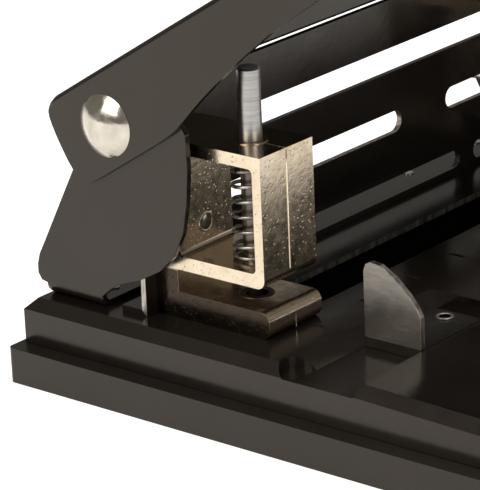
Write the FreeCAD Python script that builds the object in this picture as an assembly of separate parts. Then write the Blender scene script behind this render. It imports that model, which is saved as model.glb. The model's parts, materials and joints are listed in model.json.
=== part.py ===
import FreeCAD, Part
import math
import os

# Adjustable lever punch with three sliding punch heads. Millimetres, +Z up.
# Origin: middle of the tray's underside. X runs along the punch, -Y is the front.
V = FreeCAD.Vector

# overall
LENGTH = 366.0
DEPTH = 190.0
TRAY_H = 11.5
TRAY_FLOOR = 2.0
EDGE_ROUND = 2.0

# base shell
SHEET = 2.0
END_INSET = 6.4
BACK_INSET = 2.0
FRONT_INSET = 6.0
BASE_BOTTOM = TRAY_FLOOR + 0.5
BASE_TOP = 26.0
BEVEL = 3.4
RAMP_START = 37.5
RAMP_DROP = 1.5
CHIP_BACK = 32.4
CHIP_FRONT = CHIP_BACK - 19.0
CHIP_END = 157.0

# guide channel in the left of the base top
CHANNEL_BACK = -7.7
CHANNEL_FRONT = -35.2
CHANNEL_DEPTH = 3.7
CHANNEL_SLOPE = 5.8
CHANNEL_LEAN = 1.0
CHANNEL_END = -101.0
SCOOP_R = 6.0

# rail behind the heads
RAIL_FRONT = 50.0
RAIL_T = 2.0
RAIL_TOP = 95.6
RAIL_FOOT = 16.0
SLOT_Z = 53.6
SLOT_H = 7.4
LOW_SLOT_Z = 31.2
LOW_SLOT_H = 6.2
UPPER_SLOT_Z = 75.15
UPPER_SLOT_H = 8.3
LEFT_SLOT = (-160.0, -36.5)
RIGHT_SLOT = (-11.5, 160.0)
LOW_SLOT = (-131.0, -4.0)
UPPER_SLOT = (-116.0, 116.0)

# side plates and the handle's pivot
PLATE_OUT = 169.5
PLATE_T = 2.0
FOOT_LEN = 20.0
FOOT_BEND = 4.0
FOOT_Y = (66.0, 89.0)
PIVOT_Y = 58.5
PIVOT_Z = 86.8
PLATE_TOP_R = 12.3
RIVET_R = 4.0
RIVET_HEAD_R = 9.8
RIVET_DOME = 3.6
PIVOT_CLEAR = 0.05

# handle
ARM_GAP = 0.5
ARM_T = 2.0
ARM_BEND = 4.0
SLOPE = 31.5
HEEL_TOP = (76.1, 94.4)
COVER_BACK = 70.0
COVER_FRONT = -26.0
COVER_T = 2.0
GRIP_Y = -92.0
GRIP_ROD_R = 5.0
GRIP_R = 11.0
PRESS_FRONT = 20.5
PRESS_BACK = 32.0
PRESS_BOTTOM = 110.1
PRESS_T = 1.8

# punch heads
HEAD_X = (-149.9, 22.0, 149.9)
HEAD_NAMES = ("left", "middle", "right")
HEAD_W = 25.0
HEAD_FRONT = 7.4
HEAD_BACK = RAIL_FRONT
HEAD_TOP = 82.8
BLOCK_BOTTOM = 41.7
WIN_FRONT = 10.6
WIN_BACK = 39.7
WIN_BOTTOM = 46.2
WIN_TOP = 78.8
JAW_FRONT = 6.0
JAW_TOP = 34.5
THROAT_BACK = 41.2
PIN_Y = 20.7
PIN_R = 3.55
PIN_CLEAR = 0.06
PIN_TIP = 42.6
PIN_TOP = 105.5
DIE_R = 3.65
CHIP_HOLE_R = 4.6

# spring, clip and clamp of each head
SPRING_R = 4.35
WIRE_R = 0.55
SPRING_TURNS = 6.5
CLIP_R = 8.0
CLIP_T = 1.2
CLIP_TOP = WIN_TOP - 0.4
STUD_R = 3.0
STUD_BACK = 63.0
NUT_AF = 10.0
NUT_T = 5.0
WASHER_R = 6.5
WASHER_T = 1.0

# paper guide
FIN_X = -142.8
FIN_T = 2.0
FIN_BACK = -14.2
FIN_FRONT = -35.0
FIN_TOP = 49.6
GUIDE_LEN = 31.0
GUIDE_T = 3.0
EYELET_X = -116.6
EYELET_Y = -24.6
EYELET_R = 2.7

# fixings
SCREW_R = 1.7
SCREW_HEAD_R = 3.4


def box(x0, x1, y0, y1, z0, z1):
    return Part.makeBox(x1 - x0, y1 - y0, z1 - z0, V(x0, y0, z0))


def rod(r, p0, p1):
    axis = V(*p1) - V(*p0)
    return Part.makeCylinder(r, axis.Length, V(*p0), axis)


def mirror_x(shape):
    return shape.mirror(V(0, 0, 0), V(1, 0, 0))


def prism_x(points, x0, x1):
    """Closed outline of (y, z) points, extruded along X."""
    ring = [V(x0, y, z) for y, z in points]
    face = Part.Face(Part.makePolygon(ring + [ring[0]]))
    return face.extrude(V(x1 - x0, 0, 0))


def prism_y(points, y0, y1):
    """Closed outline of (x, z) points, extruded along Y."""
    ring = [V(x, y0, z) for x, z in points]
    face = Part.Face(Part.makePolygon(ring + [ring[0]]))
    return face.extrude(V(0, y1 - y0, 0))


def edges_where(shape, test):
    return [e for e in shape.Edges if test(e.BoundBox)]


def softened(points, steps=5):
    """The line of points with each inner corner drawn as a smooth curve."""
    line = [points[0]]
    for before, corner, after in zip(points, points[1:], points[2:]):
        for k in range(steps):
            t = (k + 0.5) / steps
            start = [(a + c) / 2 for a, c in zip(before, corner)]
            end = [(b + c) / 2 for b, c in zip(after, corner)]
            line.append(tuple(
                (1 - t) ** 2 * a + 2 * t * (1 - t) * c + t ** 2 * b for a, c, b in zip(start, corner, end)
            ))
    return line + [points[-1]]


def slot_through_y(x0, x1, z, height, y0, y1):
    """A slot with round ends, cut along Y."""
    r = height / 2
    body = box(x0 + r, x1 - r, y0, y1, z - r, z + r)
    for x in (x0 + r, x1 - r):
        body = body.fuse(rod(r, (x, y0, z), (x, y1, z)))
    return body


def chip_tray():
    half_x = LENGTH / 2
    half_y = DEPTH / 2
    outer = box(-half_x, half_x, -half_y, half_y, 0, TRAY_H)
    corners = edges_where(outer, lambda b: b.ZLength > TRAY_H - 0.1)
    outer = outer.makeFillet(EDGE_ROUND, corners)
    gap = 0.25
    pocket = box(
        -half_x + END_INSET - gap,
        half_x - END_INSET + gap,
        -half_y + FRONT_INSET - gap,
        half_y - BACK_INSET + gap,
        TRAY_FLOOR,
        TRAY_H + 1,
    )
    return outer.cut(pocket)


def base_block(inset, bevel):
    """The base's outline as a solid block, drawn in on every side by inset."""
    back = DEPTH / 2 - BACK_INSET - inset
    front = -DEPTH / 2 + FRONT_INSET + inset
    top = BASE_TOP - inset
    half = LENGTH / 2 - END_INSET - inset
    outline = [
        (back, BASE_BOTTOM),
        (back, top),
        (-RAMP_START, top),
        (front, top - RAMP_DROP),
        (front, BASE_BOTTOM),
    ]
    block = prism_x(outline, -half, half)
    low = top - RAMP_DROP - 0.1
    rim = edges_where(
        block,
        lambda b: b.ZMin > low and not (b.XLength > 1 and abs(b.YMin + RAMP_START) < 0.1),
    )
    return block.makeChamfer(bevel, rim)


def channel_cut(grow):
    """The guide channel's section, larger by grow for the tub under it."""
    floor = BASE_TOP - CHANNEL_DEPTH - grow
    section = [
        (CHANNEL_BACK + grow, BASE_TOP + 1),
        (CHANNEL_BACK + grow, BASE_TOP),
        (CHANNEL_BACK - CHANNEL_SLOPE + grow, floor),
        (CHANNEL_FRONT - grow, floor),
        (CHANNEL_FRONT - CHANNEL_LEAN - grow, BASE_TOP),
        (CHANNEL_FRONT - CHANNEL_LEAN - grow, BASE_TOP + 1),
    ]
    return section


def base_shell():
    shell = base_block(0, BEVEL).cut(base_block(SHEET, BEVEL - 0.8))
    half = LENGTH / 2 - END_INSET
    opening = box(-CHIP_END, CHIP_END, CHIP_FRONT, CHIP_BACK, BASE_TOP - 4, BASE_TOP + 1)
    shell = shell.cut(opening)
    floor = BASE_TOP - CHANNEL_DEPTH
    scoop_x, scoop_y = -half + SCOOP_R - 0.5, CHANNEL_BACK - SCOOP_R + 2.0
    cup = rod(SCOOP_R + SHEET, (scoop_x, scoop_y, floor - SHEET), (scoop_x, scoop_y, BASE_TOP))
    tub = prism_x(channel_cut(SHEET), -half, CHANNEL_END + SHEET).fuse(cup)
    shell = shell.fuse(tub.common(base_block(0, BEVEL)))
    shell = shell.cut(prism_x(channel_cut(0), -half - 1, CHANNEL_END))
    shell = shell.cut(rod(SCOOP_R, (scoop_x, scoop_y, floor), (scoop_x, scoop_y, BASE_TOP + 1)))
    for x, y in rail_screw_places() + plate_screw_places():
        shell = shell.cut(rod(SCREW_R + 0.05, (x, y, BASE_TOP - 4), (x, y, BASE_TOP + 1)))
    return shell.removeSplitter()


def rail_screw_places():
    return [(x, RAIL_FRONT + RAIL_FOOT - 6.0) for x in (-105.0, -20.0, 20.0, 105.0)]


def plate_screw_places():
    x = PLATE_OUT - FOOT_LEN + 8.0
    return [(side * x, y) for side in (-1, 1) for y in (FOOT_Y[0] + 6.0, FOOT_Y[1] - 6.0)]


def screw_from_below(x, y, top):
    """A pan-head screw driven up through the base's top sheet."""
    under = BASE_TOP - SHEET
    head = rod(SCREW_HEAD_R, (x, y, under - 2.0), (x, y, under))
    return head.fuse(rod(SCREW_R, (x, y, under - 0.5), (x, y, top)))


def screw_group(places, top):
    return Part.makeCompound([screw_from_below(x, y, top) for x, y in places])


def rail():
    half = PLATE_OUT - PLATE_T - 0.05
    back = RAIL_FRONT + RAIL_T
    web = box(-half, half, RAIL_FRONT, back, BASE_TOP, RAIL_TOP)
    foot = box(-half, half, RAIL_FRONT, RAIL_FRONT + RAIL_FOOT, BASE_TOP, BASE_TOP + RAIL_T)
    body = web.fuse(foot).removeSplitter()
    y0, y1 = RAIL_FRONT - 1, back + 1
    for side in (-1, 1):
        lo, hi = sorted((side * LOW_SLOT[0], side * LOW_SLOT[1]))
        body = body.cut(slot_through_y(lo, hi, LOW_SLOT_Z, LOW_SLOT_H, y0, y1))
    for (lo, hi), z, height in (
        (LEFT_SLOT, SLOT_Z, SLOT_H),
        (RIGHT_SLOT, SLOT_Z, SLOT_H),
        (UPPER_SLOT, UPPER_SLOT_Z, UPPER_SLOT_H),
    ):
        body = body.cut(slot_through_y(lo, hi, z, height, y0, y1))
    for x, y in rail_screw_places():
        body = body.cut(rod(SCREW_R, (x, y, BASE_TOP - 1), (x, y, BASE_TOP + RAIL_T + 1)))
    notch = box(-half - 1, -half + FOOT_LEN + 4, FOOT_Y[0] - 6, FOOT_Y[1], BASE_TOP - 1, BASE_TOP + RAIL_T + 1)
    return body.cut(notch).cut(mirror_x(notch))


def plate_outline():
    """Side plate outline as (y, z): a broad foot, a waist and a round top at the pivot."""
    front = [(FOOT_Y[0], 30.0), (62.5, 33.0), (58.6, 35.4), (50.3, 38.4), (42.0, 43.0)]
    throat = [(36.3, 48.6), (32.2, 56.6), (30.2, 66.4), (29.2, 77.0), (29.4, 88.0)]
    top = [(33.0, 93.5), (42.0, 97.5)]
    for angle in range(110, -31, -20):
        a = math.radians(angle)
        top.append((PIVOT_Y + PLATE_TOP_R * math.cos(a), PIVOT_Z + PLATE_TOP_R * math.sin(a)))
    back = [(88.9, 43.9), (91.6, 39.0), (92.6, 35.5), (92.6, 32.5), (91.2, 30.4), (89.0, 30.0)]
    return front + throat + top + back


def side_plate():
    out, inner = PLATE_OUT, PLATE_OUT - PLATE_T
    web = prism_x(plate_outline(), inner, out)
    bend = []
    for k in range(7):
        a = math.radians(15 * k)
        bend.append((out - FOOT_BEND * (1 - math.cos(a)), BASE_TOP + FOOT_BEND * (1 - math.sin(a))))
    inside = []
    for k in range(7):
        a = math.radians(90 - 15 * k)
        r = FOOT_BEND - PLATE_T
        inside.append((inner - r * (1 - math.cos(a)), BASE_TOP + PLATE_T + r * (1 - math.sin(a))))
    far = out - FOOT_LEN
    outline = bend + [(far, BASE_TOP), (far, BASE_TOP + PLATE_T)] + inside
    foot = prism_y(outline, FOOT_Y[0], FOOT_Y[1])
    body = web.fuse(foot).removeSplitter()
    hole = rod(RIVET_R, (inner - 1, PIVOT_Y, PIVOT_Z), (out + 1, PIVOT_Y, PIVOT_Z))
    body = body.cut(hole)
    for x, y in plate_screw_places():
        if x > 0:
            body = body.cut(rod(SCREW_R, (x, y, BASE_TOP - 1), (x, y, BASE_TOP + PLATE_T + 1)))
    return body


def pivot_rivet():
    """Domed rivet: head outside the arm, shank through arm and plate, clenched inside."""
    out = PLATE_OUT + ARM_GAP + ARM_T + 0.1
    inner = PLATE_OUT - PLATE_T
    shank = rod(RIVET_R, (inner - 1.5, PIVOT_Y, PIVOT_Z), (out + 0.5, PIVOT_Y, PIVOT_Z))
    clench = rod(RIVET_R + 2.0, (inner - 1.5, PIVOT_Y, PIVOT_Z), (inner, PIVOT_Y, PIVOT_Z))
    ball_r = (RIVET_HEAD_R ** 2 + RIVET_DOME ** 2) / (2 * RIVET_DOME)
    ball = Part.makeSphere(ball_r, V(out + RIVET_DOME - ball_r, PIVOT_Y, PIVOT_Z))
    keep = rod(RIVET_HEAD_R + 1, (out, PIVOT_Y, PIVOT_Z), (out + RIVET_DOME + 1, PIVOT_Y, PIVOT_Z))
    return ball.common(keep).fuse([shank, clench])


def pivot_washer():
    x0 = PLATE_OUT + 0.05
    x1 = x0 + ARM_GAP - 0.1
    ring = rod(RIVET_HEAD_R - 1.5, (x0, PIVOT_Y, PIVOT_Z), (x1, PIVOT_Y, PIVOT_Z))
    return ring.cut(rod(RIVET_R + 0.05, (x0 - 1, PIVOT_Y, PIVOT_Z), (x1 + 1, PIVOT_Y, PIVOT_Z)))


def handle_top(y):
    """Height of the arm's upper edge at y."""
    return HEEL_TOP[1] + (HEEL_TOP[0] - y) * math.tan(math.radians(SLOPE))


def cover_under(y):
    return handle_top(y) - COVER_T / math.cos(math.radians(SLOPE))


def grip_z():
    return handle_top(GRIP_Y) - 9.5


def arm_outline():
    """Arm outline as (y, z): a blunt heel round the pivot, narrowing towards the grip."""
    heel = [(62.0, 69.7), (69.8, 64.9), (81.9, 85.3), (80.9, 90.2), (79.9, 92.1), HEEL_TOP]
    z = grip_z()
    nose_y = GRIP_Y - 4.0
    nose = [(nose_y, handle_top(nose_y)), (GRIP_Y - 11.0, z + 6.0), (GRIP_Y - 10.0, z - 4.0)]
    lower = [(GRIP_Y - 4.0, z - 8.5), (GRIP_Y + 6.0, z - 9.0), (-23.9, 137.3), (-6.3, 124.9)]
    belly = [(5.1, 115.5), (20.8, 101.0), (29.0, 91.8), (33.8, 87.5), (49.3, 77.7)]
    return softened(heel) + nose + lower + softened(belly)


def handle_frame():
    """One bent sheet: two arms and the cover between them."""
    x0 = PLATE_OUT + ARM_GAP
    x1 = x0 + ARM_T
    arm = prism_x(arm_outline(), x0, x1)
    cover = [
        (COVER_BACK, handle_top(COVER_BACK)),
        (COVER_BACK, cover_under(COVER_BACK)),
        (COVER_FRONT, cover_under(COVER_FRONT)),
        (COVER_FRONT, handle_top(COVER_FRONT)),
    ]
    sheet = prism_x(cover, -x1, x1)
    body = sheet.fuse([arm, mirror_x(arm)]).removeSplitter()
    rear = COVER_BACK - 1.0
    ridge = edges_where(
        body,
        lambda b: abs(abs(b.XMin) - x1) < 0.01
        and b.XLength < 0.1
        and b.YLength > 60
        and b.ZMin > handle_top(rear) - 10,
    )
    body = body.makeFillet(1.9, [e for e in ridge if is_top_edge(e)])
    pivot = rod(RIVET_R + PIVOT_CLEAR, (-x1 - 1, PIVOT_Y, PIVOT_Z), (x1 + 1, PIVOT_Y, PIVOT_Z))
    grip = rod(GRIP_ROD_R, (-x1 - 1, GRIP_Y, grip_z()), (x1 + 1, GRIP_Y, grip_z()))
    return body.cut(pivot).cut(grip)


def is_top_edge(edge):
    middle = edge.BoundBox.Center
    return abs(middle.z - handle_top(middle.y)) < 0.2


def press_channel():
    """U-shaped bar under the cover that bears on the punch pins."""
    inner_front = PRESS_FRONT + PRESS_T
    inner_back = PRESS_BACK - PRESS_T
    floor = PRESS_BOTTOM + PRESS_T
    outline = [
        (PRESS_FRONT, PRESS_BOTTOM),
        (PRESS_BACK, PRESS_BOTTOM),
        (PRESS_BACK, cover_under(PRESS_BACK)),
        (inner_back, cover_under(inner_back)),
        (inner_back, floor),
        (inner_front, floor),
        (inner_front, cover_under(inner_front)),
        (PRESS_FRONT, cover_under(PRESS_FRONT)),
    ]
    half = PLATE_OUT + ARM_GAP
    bar = prism_x(outline, -half, half)
    foot = edges_where(bar, lambda b: b.ZMax < PRESS_BOTTOM + 0.1 and b.XLength > half)
    return bar.makeFillet(1.2, foot)


def grip_rod():
    half = PLATE_OUT + ARM_GAP + ARM_T + 1.0
    return rod(GRIP_ROD_R, (-half, GRIP_Y, grip_z()), (half, GRIP_Y, grip_z()))


def grip_sleeve():
    half = PLATE_OUT + ARM_GAP - 0.3
    sleeve = rod(GRIP_R, (-half, GRIP_Y, grip_z()), (half, GRIP_Y, grip_z()))
    rims = edges_where(sleeve, lambda b: b.XLength < 0.1)
    sleeve = sleeve.makeFillet(3.0, rims)
    return sleeve.cut(rod(GRIP_ROD_R, (-half - 1, GRIP_Y, grip_z()), (half + 1, GRIP_Y, grip_z())))


def head_casting(x):
    """C-shaped casting: windowed block above, die jaw below, joined at the back."""
    x0, x1 = x - HEAD_W / 2, x + HEAD_W / 2
    block = box(x0, x1, HEAD_FRONT, HEAD_BACK, BLOCK_BOTTOM, HEAD_TOP)
    low_front = edges_where(block, lambda b: b.ZMax < BLOCK_BOTTOM + 0.1 and b.YMax < HEAD_FRONT + 0.1)
    block = block.makeFillet(3.0, low_front)
    window = box(x0 - 1, x1 + 1, WIN_FRONT, WIN_BACK, WIN_BOTTOM, WIN_TOP)
    inner = edges_where(window, lambda b: b.XLength > HEAD_W)
    window = window.makeFillet(1.6, inner)
    column = box(x0, x1, THROAT_BACK, HEAD_BACK, BASE_TOP, BLOCK_BOTTOM + 1)
    jaw = box(x0, x1, JAW_FRONT, HEAD_BACK, BASE_TOP, JAW_TOP)
    lip = edges_where(jaw, lambda b: b.ZMin > JAW_TOP - 0.1 and b.YMax < JAW_FRONT + 0.1)
    toe = edges_where(jaw, lambda b: b.ZMax < BASE_TOP + 0.1 and b.YMax < JAW_FRONT + 0.1)
    jaw = jaw.makeFillet(3.4, lip + toe)
    body = block.fuse([column, jaw]).removeSplitter().cut(window)
    for r, z0, z1 in (
        (PIN_R + PIN_CLEAR, WIN_TOP - 1, HEAD_TOP + 1),
        (PIN_R + PIN_CLEAR, BLOCK_BOTTOM - 1, WIN_BOTTOM + 1),
        (DIE_R, JAW_TOP - 4, JAW_TOP + 1),
        (CHIP_HOLE_R, BASE_TOP - 1, JAW_TOP - 3.5),
    ):
        body = body.cut(rod(r, (x, PIN_Y, z0), (x, PIN_Y, z1)))
    return body.cut(rod(STUD_R, (x, WIN_BACK - 1, SLOT_Z), (x, HEAD_BACK + 1, SLOT_Z)))


def punch_pin(x):
    pin = rod(PIN_R, (x, PIN_Y, PIN_TIP), (x, PIN_Y, PIN_TOP))
    groove = rod(PIN_R + 1, (x, PIN_Y, CLIP_TOP - CLIP_T), (x, PIN_Y, CLIP_TOP))
    groove = groove.cut(rod(PIN_R - 0.6, (x, PIN_Y, CLIP_TOP - 2), (x, PIN_Y, CLIP_TOP + 1)))
    rim = edges_where(pin, lambda b: b.ZMin > PIN_TOP - 0.1)
    return pin.makeChamfer(0.5, rim).cut(groove)


def pin_clip(x):
    """E-shaped snap ring in the pin's groove, open towards the front."""
    z0 = CLIP_TOP - CLIP_T + 0.02
    z1 = CLIP_TOP - 0.02
    ring = rod(CLIP_R, (x, PIN_Y, z0), (x, PIN_Y, z1))
    ring = ring.cut(rod(PIN_R - 0.6, (x, PIN_Y, z0 - 1), (x, PIN_Y, z1 + 1)))
    mouth = PIN_R - 0.9
    return ring.cut(box(x - mouth, x + mouth, PIN_Y - CLIP_R - 1, PIN_Y, z0 - 1, z1 + 1))


def return_spring(x):
    """Open coil between the window's floor and the clip."""
    low = WIN_BOTTOM + WIRE_R + 0.02
    high = CLIP_TOP - CLIP_T - WIRE_R - 0.02
    height = high - low
    helix = Part.makeHelix(height / SPRING_TURNS, height, SPRING_R)
    helix.translate(V(x, PIN_Y, low))
    start = Part.Circle(V(x + SPRING_R, PIN_Y, low), V(0, 1, 0), WIRE_R)
    section = Part.Wire([start.toShape()])
    return Part.Wire(helix.Edges).makePipeShell([section], True, True)


def clamp_stud(x):
    return rod(STUD_R, (x, WIN_BACK + 0.3, SLOT_Z), (x, STUD_BACK, SLOT_Z))


def clamp_washer(x):
    y0 = RAIL_FRONT + RAIL_T
    ring = rod(WASHER_R, (x, y0, SLOT_Z), (x, y0 + WASHER_T, SLOT_Z))
    return ring.cut(rod(STUD_R, (x, y0 - 1, SLOT_Z), (x, y0 + 2, SLOT_Z)))


def clamp_nut(x):
    y0 = RAIL_FRONT + RAIL_T + WASHER_T
    r = NUT_AF / math.sqrt(3)
    ring = []
    for k in range(7):
        a = math.radians(60 * k)
        ring.append(V(x + r * math.cos(a), y0, SLOT_Z + r * math.sin(a)))
    nut = Part.Face(Part.makePolygon(ring)).extrude(V(0, NUT_T, 0))
    return nut.cut(rod(STUD_R, (x, y0 - 1, SLOT_Z), (x, y0 + NUT_T + 1, SLOT_Z)))


def guide_floor():
    return BASE_TOP - CHANNEL_DEPTH + 0.1


def guide_fin():
    """Upright stop with a quarter-round front, standing on the slider."""
    floor = guide_floor() + GUIDE_T
    x0 = FIN_X
    top = [(FIN_BACK, FIN_TOP - 3.0), (FIN_BACK - 0.8, FIN_TOP - 1.0), (FIN_BACK - 2.6, FIN_TOP)]
    sweep = [(-20.4, 49.2), (-25.6, 46.3), (-30.4, 42.0), (-33.8, 38.0), (FIN_FRONT, 35.6)]
    outline = [(FIN_BACK, floor)] + top + sweep + [(FIN_FRONT, floor)]
    return prism_x(outline, x0, x0 + FIN_T)


def guide_slider():
    """Flat slide under the stop, lying in the channel."""
    floor = guide_floor()
    x0 = FIN_X
    plate = box(x0, x0 + GUIDE_LEN, FIN_FRONT, FIN_BACK, floor, floor + GUIDE_T)
    hole = rod(EYELET_R - 0.5, (EYELET_X, EYELET_Y, floor - 1), (EYELET_X, EYELET_Y, floor + 3))
    return plate.cut(hole)


def guide_eyelet():
    """Rolled eyelet through the slide."""
    floor = guide_floor()
    top = floor + GUIDE_T
    tube = rod(EYELET_R - 0.5, (EYELET_X, EYELET_Y, floor), (EYELET_X, EYELET_Y, top + 0.3))
    brim = rod(EYELET_R, (EYELET_X, EYELET_Y, top), (EYELET_X, EYELET_Y, top + 0.3))
    bore = rod(EYELET_R - 0.9, (EYELET_X, EYELET_Y, floor - 1), (EYELET_X, EYELET_Y, top + 1))
    return tube.fuse(brim).removeSplitter().cut(bore)


def all_parts():
    parts = {
        "chip_tray": chip_tray(),
        "base_shell": base_shell(),
        "rail": rail(),
        "rail_screws": screw_group(rail_screw_places(), BASE_TOP + RAIL_T + 0.4),
        "side_plate_screws": screw_group(plate_screw_places(), BASE_TOP + PLATE_T + 0.4),
        "handle_frame": handle_frame(),
        "press_channel": press_channel(),
        "grip_rod": grip_rod(),
        "grip_sleeve": grip_sleeve(),
        "guide_fin": guide_fin(),
        "guide_slider": guide_slider(),
        "guide_eyelet": guide_eyelet(),
    }
    for name, make in (
        ("side_plate", side_plate),
        ("pivot_rivet", pivot_rivet),
        ("pivot_washer", pivot_washer),
    ):
        right = make()
        parts[name + "_right"] = right
        parts[name + "_left"] = mirror_x(right)
    for name, x in zip(HEAD_NAMES, HEAD_X):
        parts["punch_head_" + name] = head_casting(x)
        parts["punch_pin_" + name] = punch_pin(x)
        parts["pin_clip_" + name] = pin_clip(x)
        parts["return_spring_" + name] = return_spring(x)
        parts["clamp_stud_" + name] = clamp_stud(x)
        parts["clamp_washer_" + name] = clamp_washer(x)
        parts["clamp_nut_" + name] = clamp_nut(x)
    return parts


os.makedirs("parts", exist_ok=True)
for node, shape in all_parts().items():
    shape.exportStep("parts/" + node + ".step")
    print(node, shape.isValid(), len(shape.Solids), round(shape.Volume, 1))
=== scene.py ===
import json
import math

import bmesh
import bpy
from mathutils import Matrix, Vector


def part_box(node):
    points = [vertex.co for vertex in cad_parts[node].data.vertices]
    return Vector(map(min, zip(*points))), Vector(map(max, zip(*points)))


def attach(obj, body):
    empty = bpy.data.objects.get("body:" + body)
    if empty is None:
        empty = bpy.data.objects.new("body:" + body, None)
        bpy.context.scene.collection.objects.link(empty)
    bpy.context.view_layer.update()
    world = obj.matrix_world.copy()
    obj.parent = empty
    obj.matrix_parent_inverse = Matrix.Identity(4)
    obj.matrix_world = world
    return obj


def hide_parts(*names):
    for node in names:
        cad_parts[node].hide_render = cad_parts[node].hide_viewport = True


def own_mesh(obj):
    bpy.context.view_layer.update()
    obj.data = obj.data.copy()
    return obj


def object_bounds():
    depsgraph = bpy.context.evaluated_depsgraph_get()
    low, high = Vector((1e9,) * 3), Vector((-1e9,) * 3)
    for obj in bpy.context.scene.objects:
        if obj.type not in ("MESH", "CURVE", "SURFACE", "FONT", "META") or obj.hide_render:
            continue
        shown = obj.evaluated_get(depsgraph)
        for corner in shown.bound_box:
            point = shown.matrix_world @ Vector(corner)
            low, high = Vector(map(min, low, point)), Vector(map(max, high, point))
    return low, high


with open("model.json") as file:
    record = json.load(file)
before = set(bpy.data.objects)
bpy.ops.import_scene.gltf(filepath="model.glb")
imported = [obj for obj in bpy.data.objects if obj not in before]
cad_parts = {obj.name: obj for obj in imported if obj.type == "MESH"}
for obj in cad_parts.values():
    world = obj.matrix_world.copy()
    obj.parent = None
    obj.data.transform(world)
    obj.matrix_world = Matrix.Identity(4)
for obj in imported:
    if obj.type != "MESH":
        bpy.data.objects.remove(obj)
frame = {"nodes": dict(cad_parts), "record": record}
cad_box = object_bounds()

MM = 0.001
SIDES = ("left", "middle", "right")
scene = bpy.context.scene
scene.view_settings.view_transform = "Standard"


# ---- materials ----


class Shader:
    """A material with a Principled BSDF, textured in the row frame's own metres."""

    def __init__(self, name, **sockets):
        self.mat = bpy.data.materials.new(name)
        self.mat.use_nodes = True
        self.tree = self.mat.node_tree
        self.bsdf = self.tree.nodes["Principled BSDF"]
        self.coords = self.node("ShaderNodeTexCoord").outputs["Object"]
        self.normal = None
        for key, value in sockets.items():
            self.bsdf.inputs[key.replace("_", " ")].default_value = value

    def node(self, kind, **inputs):
        made = self.tree.nodes.new(kind)
        for key, value in inputs.items():
            made.inputs[key].default_value = value
        return made

    def link(self, a, b):
        self.tree.links.new(a, b)

    def stretch(self, scale):
        mapping = self.node("ShaderNodeMapping", Scale=scale)
        self.link(self.coords, mapping.inputs["Vector"])
        return mapping.outputs["Vector"]

    def noise(self, scale, detail=3.0, rough=0.55, stretch=(1, 1, 1)):
        n = self.node("ShaderNodeTexNoise", Scale=scale, Detail=detail, Roughness=rough)
        self.link(self.stretch(stretch), n.inputs["Vector"])
        return n.outputs["Fac"]

    def cells(self, scale):
        n = self.node("ShaderNodeTexVoronoi", Scale=scale)
        self.link(self.coords, n.inputs["Vector"])
        return n.outputs["Distance"]

    def ramp(self, fac, stops):
        """stops: (position, value or colour) pairs."""
        r = self.node("ShaderNodeValToRGB")
        self.link(fac, r.inputs["Fac"])
        marks = r.color_ramp.elements
        while len(marks) < len(stops):
            marks.new(0.5)
        for mark, (place, value) in zip(marks, stops):
            mark.position = place
            colour = value if isinstance(value, tuple) else (value, value, value)
            mark.color = (*colour, 1.0)
        return r.outputs["Color"]

    def mix(self, fac, a, b):
        m = self.tree.nodes.new("ShaderNodeMix")
        m.data_type = "RGBA"
        self.link(fac, m.inputs["Factor"])
        for socket, value in ((m.inputs[6], a), (m.inputs[7], b)):
            if isinstance(value, tuple):
                socket.default_value = (*value, 1.0)
            else:
                self.link(value, socket)
        return m.outputs[2]

    def colour(self, source):
        self.link(source, self.bsdf.inputs["Base Color"])

    def rough(self, source):
        self.link(source, self.bsdf.inputs["Roughness"])

    def bump(self, height, depth, strength=1.0):
        b = self.node("ShaderNodeBump", Strength=strength, Distance=depth)
        self.link(height, b.inputs["Height"])
        if self.normal:
            self.link(self.normal, b.inputs["Normal"])
        self.normal = b.outputs["Normal"]
        self.link(self.normal, self.bsdf.inputs["Normal"])


WARM_SHEEN = (1.0, 0.88, 0.74, 1.0)  # specular tint of the black parts


def black_paint():
    s = Shader("black_stoving_paint", Specular_IOR_Level=0.40, Specular_Tint=WARM_SHEEN)
    cloud = s.ramp(
        s.noise(14, 5),
        [(0.35, (0.0075, 0.0058, 0.0045)), (0.7, (0.0125, 0.0100, 0.0080))],
    )
    dust = s.ramp(s.noise(3200, 2), [(0.72, 0.0), (0.77, 1.0)])
    patch = s.ramp(s.noise(30, 4), [(0.50, 0.0), (0.72, 0.6)])
    speck = s.mix(patch, (0.0, 0.0, 0.0), dust)
    s.colour(s.mix(speck, cloud, (0.07, 0.062, 0.052)))
    s.rough(s.ramp(s.noise(45, 6, 0.65), [(0.3, 0.13), (0.75, 0.24)]))
    s.bump(s.noise(420, 2), 0.00004, 0.45)
    s.bump(s.noise(1700, 2), 0.00001, 0.4)
    return s.mat


def bare_edge():
    s = Shader("cut_sheet_edge", Metallic=1.0)
    streaks = s.noise(500, 4, stretch=(1, 1, 0.2))
    s.colour(s.ramp(streaks, [(0.35, (0.20, 0.18, 0.15)), (0.65, (0.62, 0.58, 0.52))]))
    s.rough(s.ramp(s.noise(900), [(0.3, 0.3), (0.7, 0.5)]))
    s.bump(s.noise(2200, 2, stretch=(1, 1, 0.1)), 0.00004)
    return s.mat


def tray_plastic():
    s = Shader("moulded_black_plastic", Specular_IOR_Level=0.34, Specular_Tint=WARM_SHEEN)
    tones = [(0.3, (0.0100, 0.0082, 0.0066)), (0.7, (0.0150, 0.0125, 0.0105))]
    s.colour(s.ramp(s.noise(20, 4), tones))
    s.rough(s.ramp(s.noise(60, 5), [(0.3, 0.30), (0.7, 0.42)]))
    s.bump(s.cells(2400), 0.00002, 0.4)
    return s.mat


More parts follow.
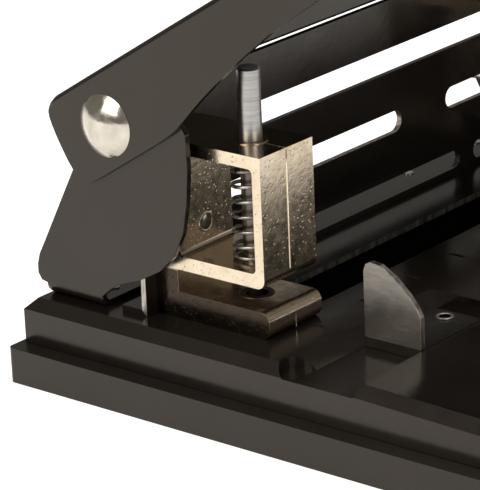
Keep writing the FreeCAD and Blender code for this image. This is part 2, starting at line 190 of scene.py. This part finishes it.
def low_sides(s, z0, z1):
    """A mask for the painted dark reflection on the heads' jaw sides, heights in metres.

    It is 1 on faces towards +X or -X below z0, and 0 above z1.
    """
    place = s.node("ShaderNodeSeparateXYZ")
    s.link(s.coords, place.inputs["Vector"])
    fade = s.node("ShaderNodeMapRange")
    s.link(place.outputs["Z"], fade.inputs["Value"])
    for key, value in (("From Min", z0), ("From Max", z1), ("To Min", 1.0), ("To Max", 0.0)):
        fade.inputs[key].default_value = value
    normal = s.node("ShaderNodeSeparateXYZ")
    s.link(s.node("ShaderNodeNewGeometry").outputs["Normal"], normal.inputs["Vector"])
    side = s.node("ShaderNodeMath")
    side.operation = "ABSOLUTE"
    s.link(normal.outputs["X"], side.inputs[0])
    facing = s.ramp(side.outputs[0], [(0.90, 0.0), (0.97, 1.0)])
    both = s.node("ShaderNodeMath")
    both.operation = "MULTIPLY"
    s.link(fade.outputs["Result"], both.inputs[0])
    s.link(facing, both.inputs[1])
    return both.outputs[0]


DARK_REFLECTION_FADE = (0.0412, 0.0420)  # heights between which the painted dark reflection on the jaw sides gives way to the plated tone
PIN_SHADE_FADE = (0.0775, 0.0805)  # heights between which the pins' painted shade, inside the heads' windows, gives way to their steel tone


def cast_nickel():
    s = Shader("cast_plated_metal", Metallic=1.0)
    tone = s.ramp(s.noise(120, 5, 0.6), [(0.3, (0.58, 0.48, 0.35)), (0.7, (0.70, 0.595, 0.45))])
    pit = s.ramp(s.noise(1500, 2), [(0.27, 1.0), (0.36, 0.0)])
    plated = s.mix(pit, tone, (0.22, 0.17, 0.11))
    # The low jaw sides are painted near-black: a painted reflection of the dark base they face.
    s.colour(s.mix(low_sides(s, *DARK_REFLECTION_FADE), plated, (0.045, 0.035, 0.026)))
    s.rough(s.ramp(s.noise(300, 4, 0.6), [(0.3, 0.15), (0.72, 0.27)]))
    s.bump(s.noise(560, 3), 0.00008, 0.4)
    s.bump(s.ramp(s.cells(620), [(0.08, 0.0), (0.22, 1.0)]), 0.00008, 0.7)
    return s.mat


def pin_steel():
    s = Shader("ground_pin_steel", Metallic=1.0)
    ring = s.noise(2200, 3, 0.6, stretch=(0.02, 0.02, 1))
    mark = s.ramp(s.noise(330, 2, 0.5, stretch=(0.3, 0.3, 1)), [(0.24, 1.0), (0.30, 0.0)])
    tone = s.ramp(ring, [(0.30, (0.26, 0.25, 0.24)), (0.6, (0.40, 0.385, 0.37))])
    place = s.node("ShaderNodeSeparateXYZ")
    s.link(s.coords, place.inputs["Vector"])
    rise = s.node("ShaderNodeMapRange")
    s.link(place.outputs["Z"], rise.inputs["Value"])
    rise.inputs["From Min"].default_value, rise.inputs["From Max"].default_value = PIN_SHADE_FADE
    # The pins are painted darker below the heads' tops: painted shade where they sit inside the
    # heads' windows.
    shaded_tone = s.mix(rise.outputs["Result"], (0.13, 0.11, 0.09), tone)
    s.colour(s.mix(mark, shaded_tone, (0.16, 0.135, 0.11)))
    s.rough(s.ramp(s.noise(120, 4), [(0.3, 0.27), (0.7, 0.38)]))
    s.bump(ring, 0.00002, 0.6)
    return s.mat


def spring_wire():
    s = Shader("drawn_spring_wire", Metallic=1.0)
    s.colour(s.ramp(s.noise(300, 4), [(0.3, (0.16, 0.145, 0.125)), (0.7, (0.36, 0.335, 0.30))]))
    s.rough(s.ramp(s.noise(800), [(0.3, 0.22), (0.7, 0.38)]))
    s.bump(s.noise(1800, 2), 0.00002)
    return s.mat


def guide_steel():
    s = Shader("satin_guide_steel", Metallic=1.0)
    grain = s.noise(2600, 3, 0.5, stretch=(1, 0.06, 1))
    s.colour(s.ramp(grain, [(0.3, (0.17, 0.155, 0.135)), (0.7, (0.25, 0.23, 0.205))]))
    s.rough(s.ramp(s.noise(90, 5), [(0.3, 0.20), (0.7, 0.33)]))
    s.bump(grain, 0.00001, 0.5)
    return s.mat


def zinc_plate():
    s = Shader("zinc_plate", Metallic=1.0)
    s.colour(s.ramp(s.cells(700), [(0.1, (0.42, 0.41, 0.38)), (0.6, (0.68, 0.67, 0.62))]))
    s.rough(s.ramp(s.noise(260, 5), [(0.3, 0.24), (0.7, 0.42)]))
    s.bump(s.noise(1500, 2), 0.00003)
    return s.mat


def rivet_chrome():
    s = Shader("polished_rivet", Metallic=1.0)
    s.colour(s.ramp(s.noise(160, 4), [(0.3, (0.42, 0.38, 0.32)), (0.7, (0.60, 0.56, 0.48))]))
    s.rough(s.ramp(s.noise(420, 5, 0.7), [(0.35, 0.10), (0.7, 0.24)]))
    s.bump(s.noise(170, 3), 0.00022, 0.6)
    return s.mat


def grip_rubber():
    s = Shader("grip_rubber", Specular_IOR_Level=0.35)
    s.colour(s.ramp(s.noise(50, 5), [(0.3, (0.012, 0.012, 0.012)), (0.7, (0.024, 0.023, 0.022))]))
    s.rough(s.ramp(s.noise(120, 4), [(0.3, 0.58), (0.7, 0.76)]))
    s.bump(s.cells(1500), 0.0001, 0.8)
    return s.mat


def nylon():
    s = Shader("washer_nylon")
    s.colour(s.ramp(s.noise(200, 4), [(0.3, (0.46, 0.43, 0.36)), (0.7, (0.62, 0.59, 0.52))]))
    s.rough(s.ramp(s.noise(300), [(0.3, 0.42), (0.7, 0.58)]))
    s.bump(s.noise(1500, 2), 0.00002)
    return s.mat


MATS = {
    "painted_steel": black_paint(),
    "tray_plastic": tray_plastic(),
    "nickel_cast": cast_nickel(),
    "pin_steel": pin_steel(),
    "spring_steel": spring_wire(),
    "guide_steel": guide_steel(),
    "zinc_fixings": zinc_plate(),
    "rivet_chrome": rivet_chrome(),
    "grip_rubber": grip_rubber(),
    "washer_nylon": nylon(),
}
EDGE = bare_edge()


def soften(obj, width, segments=2, angle=32):
    """Welded corners with a small rounded edge."""
    weld = obj.modifiers.new("weld", "WELD")
    weld.merge_threshold = 1e-6
    bevel = obj.modifiers.new("bevel", "BEVEL")
    bevel.width = width
    bevel.segments = segments
    bevel.limit_method = "ANGLE"
    bevel.angle_limit = math.radians(angle)
    obj.modifiers.new("normals", "WEIGHTED_NORMAL").keep_sharp = True


# Bevel widths, in millimetres.
ROUND = {
    "chip_tray": 0.5,
    "base_shell": 0.5,
    "rail": 0.25,
    "side_plate_left": 0.2,
    "side_plate_right": 0.2,
    "handle_frame": 0.3,
    "press_channel": 0.3,
    "guide_fin": 0.2,
    "guide_slider": 0.2,
    "punch_head_left": 0.55,
    "punch_head_middle": 0.55,
    "punch_head_right": 0.55,
    "clamp_nut_left": 0.35,
    "clamp_nut_middle": 0.35,
    "clamp_nut_right": 0.35,
    "clamp_washer_left": 0.15,
    "clamp_washer_middle": 0.15,
    "clamp_washer_right": 0.15,
    "pin_clip_left": 0.15,
    "pin_clip_middle": 0.15,
    "pin_clip_right": 0.15,
}

for entry in frame["record"]["subparts"]:
    node = frame["nodes"][entry["node"]]
    node.data.materials.clear()
    node.data.materials.append(MATS[entry["material_slot"]])
    if entry["node"] in ROUND:
        soften(node, ROUND[entry["node"]] * MM)


def paint_edges(node, test):
    """Show bare steel on the polygons that pass test(centre in millimetres, normal)."""
    mesh = frame["nodes"][node].data
    mesh.materials.append(EDGE)
    for face in mesh.polygons:
        if test(face.center / MM, face.normal):
            face.material_index = 1


def chip_opening_edge(c, n):
    return abs(n.z) < 0.1 and 24.1 < c.z < 25.9 and 13 < c.y < 33 and abs(c.x) < 157.5


def fin_rim(c, n):
    return abs(n.x) < 0.5


def rail_slot_edge(c, n):
    return abs(n.y) < 0.3 and 50.2 < c.y < 51.8 and 49 < c.z < 58


paint_edges("base_shell", chip_opening_edge)
paint_edges("guide_fin", fin_rim)
paint_edges("rail", rail_slot_edge)


# ---- extra pieces ----


def piece(name, verts, faces, body, slot, smooth=True):
    mesh = bpy.data.meshes.new(name)
    mesh.from_pydata([tuple(v) for v in verts], [], faces)
    mesh.validate()
    bm = bmesh.new()
    bm.from_mesh(mesh)
    bmesh.ops.recalc_face_normals(bm, faces=bm.faces)
    bm.to_mesh(mesh)
    bm.free()
    for face in mesh.polygons:
        face.use_smooth = smooth
    obj = bpy.data.objects.new(name, mesh)
    scene.collection.objects.link(obj)
    mesh.materials.append(MATS[slot])
    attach(obj, body)
    return obj


def grid_faces(rows, cols):
    """Quads over rows of a closed ring of cols points, with capped ends."""
    faces = []
    for i in range(rows - 1):
        for j in range(cols):
            k = (j + 1) % cols
            faces.append((i * cols + j, i * cols + k, (i + 1) * cols + k, (i + 1) * cols + j))
    faces.append(tuple(range(cols)))
    faces.append(tuple((rows - 1) * cols + j for j in range(cols)))
    return faces


def around_axis(profile, origin, axis, cols):
    """Rings of cols points, one for each (distance along axis, radius) pair in millimetres."""
    turn = Vector((0, 0, 1)).rotation_difference(Vector(axis))
    verts = []
    for along, r in profile:
        for j in range(cols):
            a = 2 * math.pi * j / cols
            spoke = Vector((r * math.cos(a), r * math.sin(a), along))
            verts.append(Vector(origin) * MM + turn @ spoke * MM)
    return verts


def turned(name, profile, origin, axis, body, slot, cols=48):
    """A turned piece with capped ends."""
    verts = around_axis(profile, origin, axis, cols)
    obj = piece(name, verts, grid_faces(len(profile), cols), body, slot)
    soften(obj, 0.08 * MM)
    return obj


def ring(name, inner, outer, height, origin, axis, body, slot, cols=56):
    """A flat collar with chamfered top edges."""
    lip = min(0.25 * height, 0.2)
    profile = [
        (0, inner),
        (height - lip, inner),
        (height, inner + lip),
        (height, outer - lip),
        (height - lip, outer),
        (0, outer),
    ]
    verts = around_axis(profile, origin, axis, cols)
    faces = []
    n = len(profile)
    for i in range(n):
        for j in range(cols):
            k, m = (j + 1) % cols, (i + 1) % n
            faces.append((i * cols + j, i * cols + k, m * cols + k, m * cols + j))
    return piece(name, verts, faces, body, slot)


def coil(name, x, y, low, high, radius, wire, turns, body):
    """A compression spring with closed ends. wire is the wire's own radius."""
    per, around = 30, 10  # points a turn, points around the wire
    total = int(turns * per)
    dead = 0.9  # closed turns at each end
    pitch_dead = 2.02 * wire
    live = (high - low - 2 * dead * pitch_dead) / (turns - 2 * dead)
    path = []
    for i in range(total + 1):
        t = i / per
        if t < dead:
            z = low + pitch_dead * t
        elif t < turns - dead:
            z = low + pitch_dead * dead + live * (t - dead)
        else:
            z = high - pitch_dead * (turns - t)
        a = 2 * math.pi * t
        path.append(Vector((x + radius * math.cos(a), y + radius * math.sin(a), z)))
    verts = []
    for i, p in enumerate(path):
        ahead = path[min(i + 1, total)] - path[max(i - 1, 0)]
        ahead.normalize()
        out = Vector((p.x - x, p.y - y, 0)).normalized()
        side = ahead.cross(out).normalized()
        for j in range(around):
            a = 2 * math.pi * j / around
            verts.append((p + (out * math.cos(a) + side * math.sin(a)) * wire) * MM)
    return piece(name, verts, grid_faces(total + 1, around), body, "spring_steel")


def threaded(name, x, z, y0, y1, outer, depth, pitch, body):
    """A stud along Y with a real helical thread, chamfered at y1."""
    cols, step, chamfer = 28, pitch / 8, 0.7
    rows = int((y1 - y0) / step)
    verts = []
    for i in range(rows + 1):
        along = (y1 - y0) * i / rows
        end = y1 - y0 - along
        cap = outer - max(0.0, chamfer - end)
        for j in range(cols):
            turn = (along / pitch - j / cols) % 1.0
            r = min(outer - depth * (1 - abs(2 * turn - 1)), cap)
            a = 2 * math.pi * j / cols
            verts.append(Vector((x + r * math.cos(a), y0 + along, z + r * math.sin(a))) * MM)
    return piece(name, verts, grid_faces(rows + 1, cols), body, "zinc_fixings")


def ridge(name, points, half, body, slot):
    """A thin raised line, rounded on top and half wide to each side in X.

    points: ((x, y, z), (dy, dz)) pairs, the second being the rise at that point.
    """
    section = ((-half, -0.1), (-half * 0.7, 0.6), (0, 1.0), (half * 0.7, 0.6), (half, -0.1))
    verts, faces = [], []
    for (x, y, z), (dy, dz) in points:
        for off, lift in section:
            verts.append(Vector((x + off, y + dy * lift, z + dz * lift)) * MM)
    for i in range(len(points) - 1):
        for j in range(4):
            faces.append((i * 5 + j, i * 5 + j + 1, (i + 1) * 5 + j + 1, (i + 1) * 5 + j))
    return piece(name, verts, faces, body, slot)


PIN_Y = 20.7
SLOT_Z = 53.6
SPRING_LOW, SPRING_HIGH = 46.2, 77.2
COIL_R, WIRE_R, COIL_TURNS = 6.3, 0.6, 7.6
COIL_INSET = 0.62  # from each end of the spring's space to the wire's centre
HEAD_FRONT, HEAD_TOP, JAW_TOP = 7.4, 82.8, 34.45

for side in SIDES:
    body = side + "_head"
    low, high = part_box("punch_head_" + side)
    x = (low[0] + high[0]) / 2 / MM
    coil_low, coil_high = SPRING_LOW + COIL_INSET, SPRING_HIGH - COIL_INSET
    spring = coil(
        "spring_" + side, x, PIN_Y, coil_low, coil_high, COIL_R, WIRE_R, COIL_TURNS, body
    )
    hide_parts("return_spring_" + side)
    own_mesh(spring)
    stud = threaded("stud_" + side, x, SLOT_Z, 40.0, 63.0, 3.0, 0.5, 1.0, body)
    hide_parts("clamp_stud_" + side)
    ring("stud_ring_" + side, 2.4, 3.3, 0.3, (x, 39.75, SLOT_Z), (0, -1, 0), body, "nickel_cast")
    ring("die_" + side, 3.75, 5.4, 0.22, (x, PIN_Y, JAW_TOP), (0, 0, 1), body, "pin_steel")
    ring("bush_" + side, 3.7, 5.2, 0.35, (x, PIN_Y, 82.75), (0, 0, 1), body, "nickel_cast")
    front = [((x, HEAD_FRONT, z), (-0.28, 0.0)) for z in (45.2, 52, 60, 68, 76, 82.4)]
    over = [((x, y, HEAD_TOP), (0.0, 0.2)) for y in (7.7, 11.0, 14.6)]
    ridge("flash_" + side, front + over, 0.38, body, "nickel_cast")
    nose = [((x, 6.0, z), (-0.24, 0.0)) for z in (26.8, 29, 31)]
    ridge("nose_flash_" + side, nose, 0.34, body, "nickel_cast")


eye_low, eye_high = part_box("guide_eyelet")
eye_x = (eye_low[0] + eye_high[0]) / 2 / MM
eye_y = (eye_low[1] + eye_high[1]) / 2 / MM
eye = (eye_x, eye_y, eye_high[2] / MM - 0.32)
ring("eyelet_rim", 1.82, 2.75, 0.55, eye, (0, 0, 1), "paper_guide", "zinc_fixings")


BASE_TOP = 26.0
TICK_COUNT, TICK_START, TICK_STEP, TICK_Y = 13, -144.0, 24.0, 2.6


def tick(name, x, y, length):
    """A plain mark with round ends, raised from the base's top."""
    half, r, top = length / 2, 0.45, BASE_TOP
    outline = []
    for k in range(9):
        a = math.pi * k / 8
        outline.append((x + r * math.cos(a), y + half + r * math.sin(a)))
    for k in range(9):
        a = math.pi + math.pi * k / 8
        outline.append((x + r * math.cos(a), y - half + r * math.sin(a)))
    verts = []
    for z, shrink in ((top - 0.05, 1.0), (top + 0.18, 1.0), (top + 0.26, 0.7)):
        for px, py in outline:
            in_y = 1 - (1 - shrink) * 0.15
            verts.append(Vector((x + (px - x) * shrink, y + (py - y) * in_y, z)) * MM)
    piece(name, verts, grid_faces(3, len(outline)), "frame", "painted_steel")


for k in range(TICK_COUNT):
    tick("tick_%02d" % k, TICK_START + TICK_STEP * k, TICK_Y, 3.4 if k % 3 else 5.4)

grip_low, grip_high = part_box("grip_rod")
grip_y = (grip_low[1] + grip_high[1]) / 2 / MM
grip_z = (grip_low[2] + grip_high[2]) / 2 / MM
GRIP_END = 172.05  # where the caps sit on the handle's arms
DOME = [(0, 8.4), (0.9, 8.6), (2.0, 8.0), (2.9, 6.6), (3.6, 4.4), (3.9, 2.2), (4.0, 0.5)]
for side, sign in (("left", -1), ("right", 1)):
    place = (sign * GRIP_END, grip_y, grip_z)
    turned("grip_cap_" + side, DOME, place, (sign, 0, 0), "handle", "rivet_chrome")

BAND, RIB_PITCH = 26.0, 6.0
SLEEVE_END = [(0, 5.05), (0, 8.6), (0.6, 10.0), (2.0, 10.9), (4.0, 11.0)]
RIB = [(0, 11.0), (0.5, 10.55), (1.3, 10.55), (1.8, 11.0)]


def grip_sleeve():
    """Ribbed sleeve: shallow rings between two plain bands."""
    low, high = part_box("grip_sleeve")
    x0, x1 = low[0] / MM, high[0] / MM
    length = x1 - x0
    profile = list(SLEEVE_END)
    place = BAND
    while place < length - BAND:
        profile += [(place + along, r) for along, r in RIB]
        place += RIB_PITCH
    profile += [(length - along, r) for along, r in reversed(SLEEVE_END)]
    cols = 48
    verts = []
    for along, r in profile:
        for j in range(cols):
            a = 2 * math.pi * j / cols
            y, z = grip_y + r * math.cos(a), grip_z + r * math.sin(a)
            verts.append(Vector((x0 + along, y, z)) * MM)
    faces = grid_faces(len(profile), cols)[:-2]
    obj = piece("ribbed_grip", verts, faces, "handle", "grip_rubber")
    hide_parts("grip_sleeve")


grip_sleeve()


# ---- floor, light and camera ----


def studio_floor():
    mesh = bpy.data.meshes.new("floor")
    half = 6.0
    corners = [(-half, -half, 0), (half, -half, 0), (half, half, 0), (-half, half, 0)]
    mesh.from_pydata(corners, [], [(0, 1, 2, 3)])
    floor = bpy.data.objects.new("floor", mesh)
    floor.location.z = cad_box[0][2] - 0.0002
    scene.collection.objects.link(floor)
    s = Shader("pale_floor", Emission_Strength=0.6)
    s.bsdf.inputs["Emission Color"].default_value = (1, 1, 1, 1)
    s.colour(s.ramp(s.noise(3, 2), [(0.3, 0.90), (0.7, 0.93)]))
    s.bsdf.inputs["Roughness"].default_value = 0.8
    mesh.materials.append(s.mat)


def area(name, place, aim, size, power, colour=(1, 1, 1)):
    data = bpy.data.lights.new(name, "AREA")
    data.shape = "RECTANGLE"
    data.size, data.size_y = size
    data.energy = power
    data.color = colour
    light = bpy.data.objects.new(name, data)
    light.location = place
    light.rotation_euler = (Vector(aim) - Vector(place)).to_track_quat("-Z", "Y").to_euler()
    scene.collection.objects.link(light)


studio_floor()
area("key", (-1.6, 0.35, 1.1), (0, 0, 0.05), (1.3, 1.1), 22, (1.0, 0.97, 0.93))
area("top", (0.1, -0.1, 2.0), (0, 0, 0), (1.6, 1.6), 16)
area("front", (-0.5, -1.9, 1.0), (0, 0, 0.05), (1.2, 0.8), 9)

world = bpy.data.worlds.new("studio")
world.use_nodes = True
backdrop = world.node_tree.nodes["Background"].inputs
backdrop["Color"].default_value = (1.0, 0.95, 0.88, 1)
backdrop["Strength"].default_value = 0.24
scene.world = world


CAMERA_PLACE = (-0.82112, -0.53935, 0.36656)
CAMERA_ANGLES = (-49.86, 19.91, 2.52)  # azimuth, elevation and roll, in degrees
CAMERA_LENS = 228.06


def camera():
    az, el, roll = (math.radians(v) for v in CAMERA_ANGLES)
    back = Vector((math.sin(az) * math.cos(el), -math.cos(az) * math.cos(el), math.sin(el)))
    level = (-back).cross(Vector((0, 0, 1))).normalized()
    down = (-back).cross(level).normalized()
    right = level * math.cos(roll) + down * math.sin(roll)
    up = -(down * math.cos(roll) - level * math.sin(roll))
    data = bpy.data.cameras.new("camera")
    data.sensor_width = 36.0
    data.sensor_fit = "AUTO"
    data.lens = CAMERA_LENS
    data.clip_start = 0.01
    obj = bpy.data.objects.new("camera", data)
    turn = Matrix((right, up, back)).transposed().to_4x4()
    obj.matrix_world = Matrix.Translation(CAMERA_PLACE) @ turn
    scene.collection.objects.link(obj)
    scene.camera = obj


camera()
